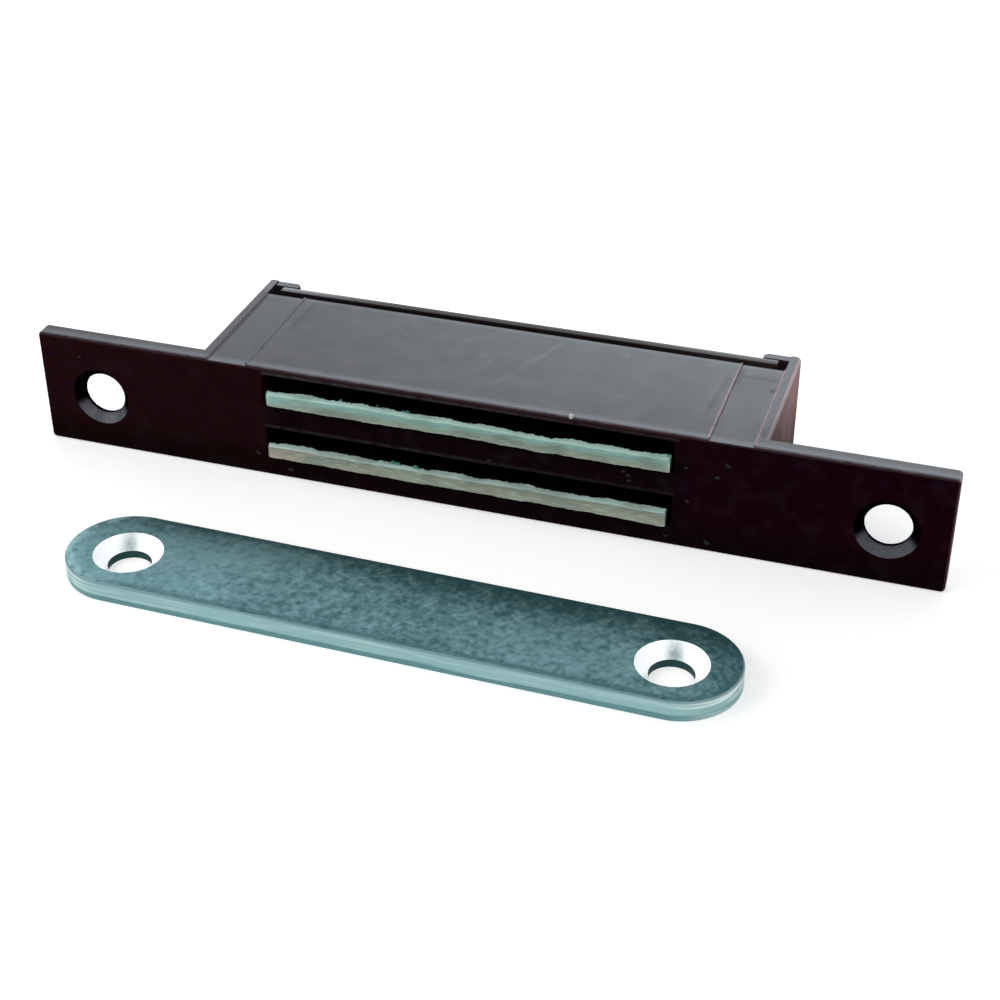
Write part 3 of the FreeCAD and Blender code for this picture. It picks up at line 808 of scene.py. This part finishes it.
def blanked_edge(finish, look, across, up, arris):
    """Colour of the strike plate's edge: burnished, with draw lines that grow into a painted
    highlight at the rounded ends, over a darker torn foot.
    """
    low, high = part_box("strike_plate")
    middle = (low + high) / 2
    draw = finish.noise(0.26 * MM, detail=1.5, stretch=(30.0, 30.0, 1.0))
    ends = abs(across - middle.x).rise(30 * MM, 36 * MM)
    torn_line = low.z + look.torn_height
    torn = (up + (draw - 0.5) * 0.5 * MM).rise(torn_line + 0.12 * MM, torn_line - 0.12 * MM)
    return finish.coats(
        look.edge_colour,
        # Draw lines, much stronger at the rounded ends, where they paint the ends' highlight.
        (draw.rise(0.46, 0.66) * (0.22 + 0.75 * ends), look.streak_and_highlight_colour),
        (torn * (1 - 0.5 * ends), look.torn_colour),
        (arris * 0.7, look.torn_colour),
    )


def strike_steel(look):
    """Dull green-grey plating, mottled and scratched, with countersinks painted bright and given a
    painted glow as their highlight, painted shade in the bores and a painted dark reflection on
    their far flanks.
    """
    finish = Finish("strike_steel")
    across, back, up = finish.parts("Object")
    _aside, _behind, above = finish.parts("Normal")
    low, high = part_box("strike_plate")
    middle = (low + high) / 2
    cloud = finish.noise(look.mottle * 6, detail=2.0)
    mottle = finish.noise(look.mottle, detail=1.5)
    speckle = finish.noise(look.mottle / 2, detail=1.0)
    scratches = strike_scratches(finish, cloud, mottle)
    tone = strike_tone(finish, across, back, (cloud, mottle, speckle))

    level = back - (across - middle.x) * math.tan(look.turn)
    past = (abs(across - middle.x) - (high.x - low.x) / 2 + STRIKE_END).most(0.0)
    radius = (past * past + (level - middle.y) * (level - middle.y)) ** 0.5
    left_end = across.rise(low.x + 9 * MM, low.x + 2 * MM)
    rim = radius.near(STRIKE_END - 0.55 * MM, 0.60 * MM) * mottle.rise(0.3, 0.6) * (1 - left_end)
    # Painted highlight along the rim of the plate's left end.
    left_end_highlight = radius.rise(STRIKE_END - 1.3 * MM, STRIKE_END - 0.5 * MM) * left_end
    face = finish.coats(
        look.dark_colour,
        (tone.rise(0.02, 1.02), look.light_colour),
        (scratches * 0.20, look.scratch_and_rim_highlight_colour),
        (rim * 0.75, look.rim_colour),
        (left_end_highlight * mottle.rise(0.3, 0.65) * 0.7, look.scratch_and_rim_highlight_colour),
    )

    flat = above.rise(0.90, 0.985)
    inner = about_holes(across, level, "strike_screws", *STRIKE_SINK)
    cut = above.band(0.60, 0.82, 0.03) * inner
    # Painted shade on the bore walls, which also lose most of their metal and grow rougher.
    bore = inner * above.rise(0.55, 0.35)
    # Painted dark reflection on the countersinks' far flanks.
    far_flank_reflection = sink_far_flank_reflection(finish, across, level, up)
    arris = up.rise(high.z - 0.30 * MM, high.z - 0.12 * MM) * (1 - flat) * (1 - inner)
    colour = finish.coats(
        blanked_edge(finish, look, across, up, arris),
        (flat, face),
        (bore, look.bore_shade_colour),
        # Countersinks painted near white as their highlight, with the painted dark reflection on
        # their far flanks.
        (cut, finish.blend(far_flank_reflection, look.cut_metal_highlight_colour, look.far_flank_reflection_colour)),
    )
    rough = look.roughness + 0.25 * (mottle - 0.5) - 0.1 * scratches
    glint = tuple(look.glint * part for part in look.cut_metal_highlight_colour)
    return finish.surface({
        "Base Color": colour,
        "Metallic": (1 - cut) * (1 - 0.7 * bore) * (1 - 0.7 * arris),
        "Roughness": rough * (1 - cut) + 0.38 * cut + 0.2 * bore,
        "Coat Weight": cut * (1 - far_flank_reflection),
        "Coat Roughness": 0.3,
        # Painted glow on the countersinks.
        "Emission Color": finish.blend(cut * (1 - far_flank_reflection), (0.0, 0.0, 0.0), glint),
        "Emission Strength": 1.0,
        "Normal": finish.bump((mottle + speckle * 0.6 - scratches * 0.4) * flat, 0.012 * MM),
    })


def dust(name, colour):
    """Matt crumbs of one colour, darker in patches."""
    finish = Finish(name)
    cloud = finish.noise(0.2 * MM)
    return finish.surface({
        "Base Color": finish.blend(cloud, colour, tuple(0.6 * part for part in colour)),
        "Roughness": 0.8,
        "Specular IOR Level": 0.1,
    })


# Meshes

def add_piece(name, mesh, material, body):
    """Add a piece that rides on a body and has the given finish."""
    piece = bpy.data.objects.new(name, mesh)
    bpy.context.scene.collection.objects.link(piece)
    mesh.materials.clear()
    mesh.materials.append(material)
    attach(piece, body)
    return piece


def dress_node(node, material):
    """Give a piece of the frame its finish."""
    mesh = frame["nodes"][node].data
    for number in range(len(mesh.materials)):
        mesh.materials[number] = material


def bar_section(low, high, look):
    """Outline of a bar's section, with its corner's number for each point; one corner is rolled."""
    even = (look.edge_round, look.edge_round)
    rolled = (look.roll_depth, look.roll_height)
    corners = (
        (low.y, low.z, even),
        (high.y, low.z, even),
        (high.y, high.z, even),
        (low.y, high.z, rolled),
    )
    outline = []
    for number, (back, up, (depth, height)) in enumerate(corners):
        centre_back = back + (depth if back == low.y else -depth)
        centre_up = up + (height if up == low.z else -height)
        start = math.pi + number * math.pi / 2
        for step in range(look.round_steps + 1):
            angle = start + step * math.pi / 2 / look.round_steps
            point = (centre_back + depth * math.cos(angle), centre_up + height * math.sin(angle))
            outline.append((point, number))
    return outline


def wander_line(chance, count, reach):
    """Offsets that stray slowly and jitter a little, as a sheared edge does."""
    hold = 0.94
    drift = 0.34
    slow_share = 0.8
    jitter_share = 0.22
    slow = 0.0
    offsets = []
    for _ in range(count):
        slow = slow * hold + chance.uniform(-1, 1) * drift
        jitter = chance.uniform(-1, 1)
        offsets.append((slow * slow_share + jitter * jitter_share) * reach)
    return offsets


def close_rings(shape, rings):
    """Join a row of rings into a solid with flat ends, smooth along its sides."""
    count = len(rings[0])
    for first, second in zip(rings, rings[1:]):
        for number in range(count):
            following = (number + 1) % count
            shape.faces.new((first[number], first[following], second[following], second[number]))
    shape.faces.new(list(reversed(rings[0])))
    shape.faces.new(rings[-1])
    bmesh.ops.recalc_face_normals(shape, faces=shape.faces)
    for face in shape.faces:
        face.smooth = len(face.verts) == 4


def sheared_bar(name, low, high, look, seed):
    """Bar of plated steel whose four long edges stray a little, as shearing leaves them."""
    depth_share = 0.35
    end_pinch = 0.35
    chance = random.Random(seed)
    stations = round((high.x - low.x) / look.station)
    outline = bar_section(low, high, look)
    stray = [[wander_line(chance, stations + 1, look.wander) for _ in range(2)] for _ in range(4)]
    middle = Vector(((low.y + high.y) / 2, (low.z + high.z) / 2))
    shape = bmesh.new()
    rings = []
    for station in range(stations + 1):
        across = low.x + station / stations * (high.x - low.x)
        nearest_end = min(across - low.x, high.x - across)
        pinch = max(0.0, 1 - nearest_end / look.edge_round) * look.edge_round * end_pinch
        ring = []
        for place, corner in outline:
            backward, upward = stray[corner]
            point = Vector(place) + Vector((depth_share * backward[station], upward[station]))
            point += (middle - point).normalized() * pinch
            ring.append(shape.verts.new((across, point.x, point.y)))
        rings.append(ring)
    close_rings(shape, rings)
    mesh = bpy.data.meshes.new(name)
    shape.to_mesh(mesh)
    shape.free()
    return mesh


# Geometry node trees

class Growth(Wiring):
    """A geometry node tree with named inputs, while its nodes are laid."""

    def __init__(self, name, inputs):
        self.tree = bpy.data.node_groups.new(name, "GeometryNodeTree")
        self.identifiers = {}
        self.open_socket("Geometry", "INPUT", "NodeSocketGeometry")
        for label, kind in inputs.items():
            self.identifiers[label] = self.open_socket(label, "INPUT", kind).identifier
        self.open_socket("Geometry", "OUTPUT", "NodeSocketGeometry")
        self.entry = self.node("NodeGroupInput")

    def open_socket(self, label, way, kind):
        """Give the tree an input or output of its own."""
        return self.tree.interface.new_socket(label, in_out=way, socket_type=kind)

    def random_vector(self, low, high, seed):
        """A vector for each point, drawn between low and high."""
        node = self.node("FunctionNodeRandomValue", {"data_type": "FLOAT_VECTOR"}, {
            0: low, 1: high, "Seed": seed})
        return node.outputs[0]

    def scaled(self, vector, factor):
        """A vector times a number."""
        node = self.node("ShaderNodeVectorMath", {"operation": "SCALE"}, {
            0: vector, "Scale": factor})
        return node.outputs["Vector"]

    def finish(self, geometry, material):
        """End the tree in real geometry that has its material."""
        real = self.node("GeometryNodeRealizeInstances", values={"Geometry": geometry})
        painted = self.node("GeometryNodeSetMaterial", values={
            "Geometry": real.outputs["Geometry"], "Material": material})
        self.node("NodeGroupOutput", values={"Geometry": painted.outputs["Geometry"]})

    def grow(self, name, mesh, values):
        """Run the tree on a mesh and return the result as a plain mesh."""
        holder = bpy.data.objects.new(name, mesh)
        bpy.context.scene.collection.objects.link(holder)
        modifier = holder.modifiers.new(name, "NODES")
        modifier.node_group = self.tree
        for label, value in values.items():
            modifier[self.identifiers[label]] = value
        depsgraph = bpy.context.evaluated_depsgraph_get()
        result = bpy.data.meshes.new_from_object(holder.evaluated_get(depsgraph))
        bpy.data.objects.remove(holder)
        result.name = name
        return result


def crumb_tree():
    """Crumbs on each point of a mesh: squashed balls turned and sized at random."""
    growth = Growth("Crumbs", {
        "Size": "NodeSocketFloat", "Wander": "NodeSocketFloat", "Seed": "NodeSocketInt",
        "Material": "NodeSocketMaterial"})
    entry = growth.entry.outputs
    points = growth.node("GeometryNodeMeshToPoints", values={"Mesh": entry["Geometry"]})
    jitter = growth.random_vector((-1.0, -1.0, -1.0), (1.0, 1.0, 1.0), entry["Seed"])
    moved = growth.node("GeometryNodeSetPosition", values={
        "Geometry": points.outputs["Points"], "Offset": growth.scaled(jitter, entry["Wander"])})
    ball = growth.node("GeometryNodeMeshIcoSphere", values={"Radius": 0.5, "Subdivisions": 2})
    spread = growth.random_vector(*CRUMB_SHAPE, entry["Seed"])
    placed = growth.node("GeometryNodeInstanceOnPoints", values={
        "Points": moved.outputs["Geometry"],
        "Instance": ball.outputs["Mesh"],
        "Rotation": growth.random_vector(*CRUMB_TURN, entry["Seed"]),
        "Scale": growth.scaled(spread, entry["Size"]),
    })
    growth.finish(placed.outputs["Instances"], entry["Material"])
    return growth


def scatter_crumbs(name, places, material, size, body):
    """Grow crumbs at the places and add them as one piece."""
    points = bpy.data.meshes.new(f"{name}_places")
    points.from_pydata(places, [], [])
    seed, stray = CRUMB_LOTS[name]
    mesh = crumb_tree().grow(name, points, {
        "Size": size, "Wander": stray * MM, "Seed": seed, "Material": material})
    add_piece(name, mesh, material, body)


# Operators

class CATCH_OT_housing(bpy.types.Operator):
    """Dress the moulded housing and its back cover"""
    bl_idname = "catch.housing"
    bl_label = "Housing"

    def execute(self, context):
        look = context.scene.catch_plastic
        dress_node("housing", housing_plastic(look))
        dress_node("back_cover", cover_plastic(look))
        return {"FINISHED"}


class CATCH_OT_magnet_pack(bpy.types.Operator):
    """Build the two sheared bars over their plain solids and dress the magnet between them"""
    bl_idname = "catch.magnet_pack"
    bl_label = "Magnet pack"

    def execute(self, context):
        look = context.scene.catch_poles
        steel = pole_steel(look)
        for side, seed in BAR_SEEDS.items():
            node = f"pole_plate_{side}"
            low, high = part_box(node)
            mesh = sheared_bar(f"sheared_bar_{side}", low, high, look, seed)
            bar = add_piece(f"sheared_bar_{side}", mesh, steel, "magnet_pack")
            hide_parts(node)
        dress_node("magnet", ferrite())
        return {"FINISHED"}


class CATCH_OT_burrs(bpy.types.Operator):
    """Tear small burrs along the top edges of the bars"""
    bl_idname = "catch.burrs"
    bl_label = "Burrs"

    def execute(self, context):
        look = context.scene.catch_poles
        chance = random.Random(BURR_SEED)
        places = []
        for side, middle, spread, count in BURR_GROUPS:
            low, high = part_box(f"pole_plate_{side}")
            for _ in range(count):
                across = middle * MM + chance.uniform(-1, 1) * spread * MM
                back = low.y + look.roll_depth * chance.uniform(*BURR_DEPTH)
                places.append((across, back, high.z + chance.uniform(*BURR_LIFT) * MM))
        steel = dust("burr_steel", look.burr_colour)
        scatter_crumbs("edge_burrs", places, steel, look.burr_size, "magnet_pack")
        return {"FINISHED"}


class CATCH_OT_strike_plate(bpy.types.Operator):
    """Dress the loose strike plate"""
    bl_idname = "catch.strike_plate"
    bl_label = "Strike plate"

    def execute(self, context):
        dress_node("strike_plate", strike_steel(context.scene.catch_strike))
        return {"FINISHED"}


class CATCH_OT_flecks(bpy.types.Operator):
    """Leave a few pale flecks on the faceplate, where the photograph shows them"""
    bl_idname = "catch.flecks"
    bl_label = "Flecks"

    def execute(self, context):
        look = context.scene.catch_flecks
        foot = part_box("housing")[0].z
        places = [(across * MM, 0.0, foot + up * MM) for across, up in FLECKS]
        lint = dust("lint", look.colour)
        scatter_crumbs("face_flecks", places, lint, look.size, "catch")
        places = [(across * MM, back * MM, up * MM - foot) for across, back, up in CHIP]
        chip = dust("bright_chip", look.chip_colour)
        scatter_crumbs("arris_chip", places, chip, look.size, "catch")
        return {"FINISHED"}


class CATCH_OT_stage(bpy.types.Operator):
    """Lay the floor, hang the lamps and set the camera"""
    bl_idname = "catch.stage"
    bl_label = "Stage"

    def execute(self, context):
        look = context.scene.catch_stage
        lay_floor(look)
        light_room(context.scene, look)
        softbox("key_left", look.key_level)
        softbox("key_right", look.key_level)
        card = softbox("rear_card", look.card_level)
        card.data.color = look.card_colour
        set_camera(context.scene, look)
        context.scene.view_settings.view_transform = "Standard"
        return {"FINISHED"}


def lay_floor(look):
    """Lay a white table that glows a little where it is seen, and more away from the object."""
    ends = (-FLOOR_REACH, FLOOR_REACH)
    corners = [(across, back, CAD_BOX[0].z) for back in ends for across in ends]
    mesh = bpy.data.meshes.new("floor")
    mesh.from_pydata(corners, [], [(0, 1, 3, 2)])
    floor = bpy.data.objects.new("floor", mesh)
    bpy.context.scene.collection.objects.link(floor)
    finish = Finish("table_white")
    rays = finish.node("ShaderNodeLightPath").outputs
    seen = strongest([Term(finish, rays[name]) for name in SEEN_RAYS])
    across, back, _up = finish.parts("Object")
    away = ((across * across + back * back) ** 0.5).rise(GLOW_START, GLOW_END)
    level = look.floor_glow + (look.far_glow - look.floor_glow) * away
    matt = finish.node("ShaderNodeBsdfDiffuse", values={"Color": look.floor_colour})
    glow = finish.node("ShaderNodeEmission", values={
        "Color": (1.0, 1.0, 1.0), "Strength": seen * level})
    both = finish.node("ShaderNodeAddShader", values={
        0: matt.outputs["BSDF"], 1: glow.outputs["Emission"]})
    finish.node("ShaderNodeOutputMaterial", values={"Surface": both.outputs["Shader"]})
    mesh.materials.append(finish.material)


def light_room(scene, look):
    """Light the object evenly from all around."""
    world = bpy.data.worlds.new("room")
    world.use_nodes = True
    background = world.node_tree.nodes["Background"]
    background.inputs["Color"].default_value = (*look.room_colour, 1.0)
    background.inputs["Strength"].default_value = look.room_level
    scene.world = world


def softbox(name, radiance):
    """Rectangular lamp aimed at the origin, whose power follows from its size and radiance."""
    size, place = LAMPS[name]
    lamp = bpy.data.lights.new(name, "AREA")
    lamp.shape = "RECTANGLE"
    lamp.size, lamp.size_y = size
    lamp.energy = radiance * math.pi * size[0] * size[1]
    holder = bpy.data.objects.new(name, lamp)
    holder.location = place
    holder.rotation_euler = Vector(place).to_track_quat("Z", "Y").to_euler()
    holder.visible_camera = False
    bpy.context.scene.collection.objects.link(holder)
    return holder


def set_camera(scene, look):
    """Look down at the foot of the faceplate from the right, as the photograph does."""
    level = Vector((math.cos(look.azimuth), math.sin(look.azimuth), 0.0))
    ahead = Vector((-math.sin(look.azimuth) * math.cos(look.elevation),
                    math.cos(look.azimuth) * math.cos(look.elevation),
                    -math.sin(look.elevation)))
    upright = level.cross(ahead)
    right = level * math.cos(look.roll) + upright * math.sin(look.roll)
    up = upright * math.cos(look.roll) - level * math.sin(look.roll)
    foot = Vector((0.0, 0.0, CAD_BOX[0].z))
    camera = bpy.data.objects.new("camera", bpy.data.cameras.new("camera"))
    camera.data.sensor_width = CAMERA_FRAME
    camera.data.lens = look.focal_length
    place = foot - ahead * look.distance + right * look.aim_right + up * look.aim_up
    turned = Matrix((right, up, -ahead)).transposed().to_4x4()
    camera.matrix_world = Matrix.Translation(place) @ turned
    scene.collection.objects.link(camera)
    scene.camera = camera


class CATCH_PT_panel(bpy.types.Panel):
    """Settings and steps of the magnetic catch"""
    bl_idname = "CATCH_PT_panel"
    bl_label = "Magnetic catch"
    bl_space_type = "VIEW_3D"
    bl_region_type = "UI"
    bl_category = "Catch"

    def draw(self, context):
        for name in SETTINGS:
            box = self.layout.box()
            group = getattr(context.scene, name)
            for setting in group.__annotations__:
                box.prop(group, setting)
        for operator in STEPS:
            self.layout.operator(operator.bl_idname)


SETTINGS = {
    "catch_plastic": PlasticSettings,
    "catch_poles": PoleSettings,
    "catch_strike": StrikeSettings,
    "catch_flecks": FleckSettings,
    "catch_stage": StageSettings,
}
STEPS = (
    CATCH_OT_housing, CATCH_OT_magnet_pack, CATCH_OT_burrs, CATCH_OT_strike_plate,
    CATCH_OT_flecks, CATCH_OT_stage,
)


def register():
    for group in (*SETTINGS.values(), *STEPS, CATCH_PT_panel):
        bpy.utils.register_class(group)
    for name, group in SETTINGS.items():
        setattr(bpy.types.Scene, name, bpy.props.PointerProperty(type=group))


def unregister():
    for name in SETTINGS:
        delattr(bpy.types.Scene, name)
    for group in (CATCH_PT_panel, *reversed(STEPS), *SETTINGS.values()):
        bpy.utils.unregister_class(group)


def main():
    """Register the add-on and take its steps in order."""
    register()
    bpy.ops.catch.housing()
    bpy.ops.catch.magnet_pack()
    bpy.ops.catch.burrs()
    bpy.ops.catch.strike_plate()
    bpy.ops.catch.flecks()
    bpy.ops.catch.stage()


if __name__ == "__main__":
    main()
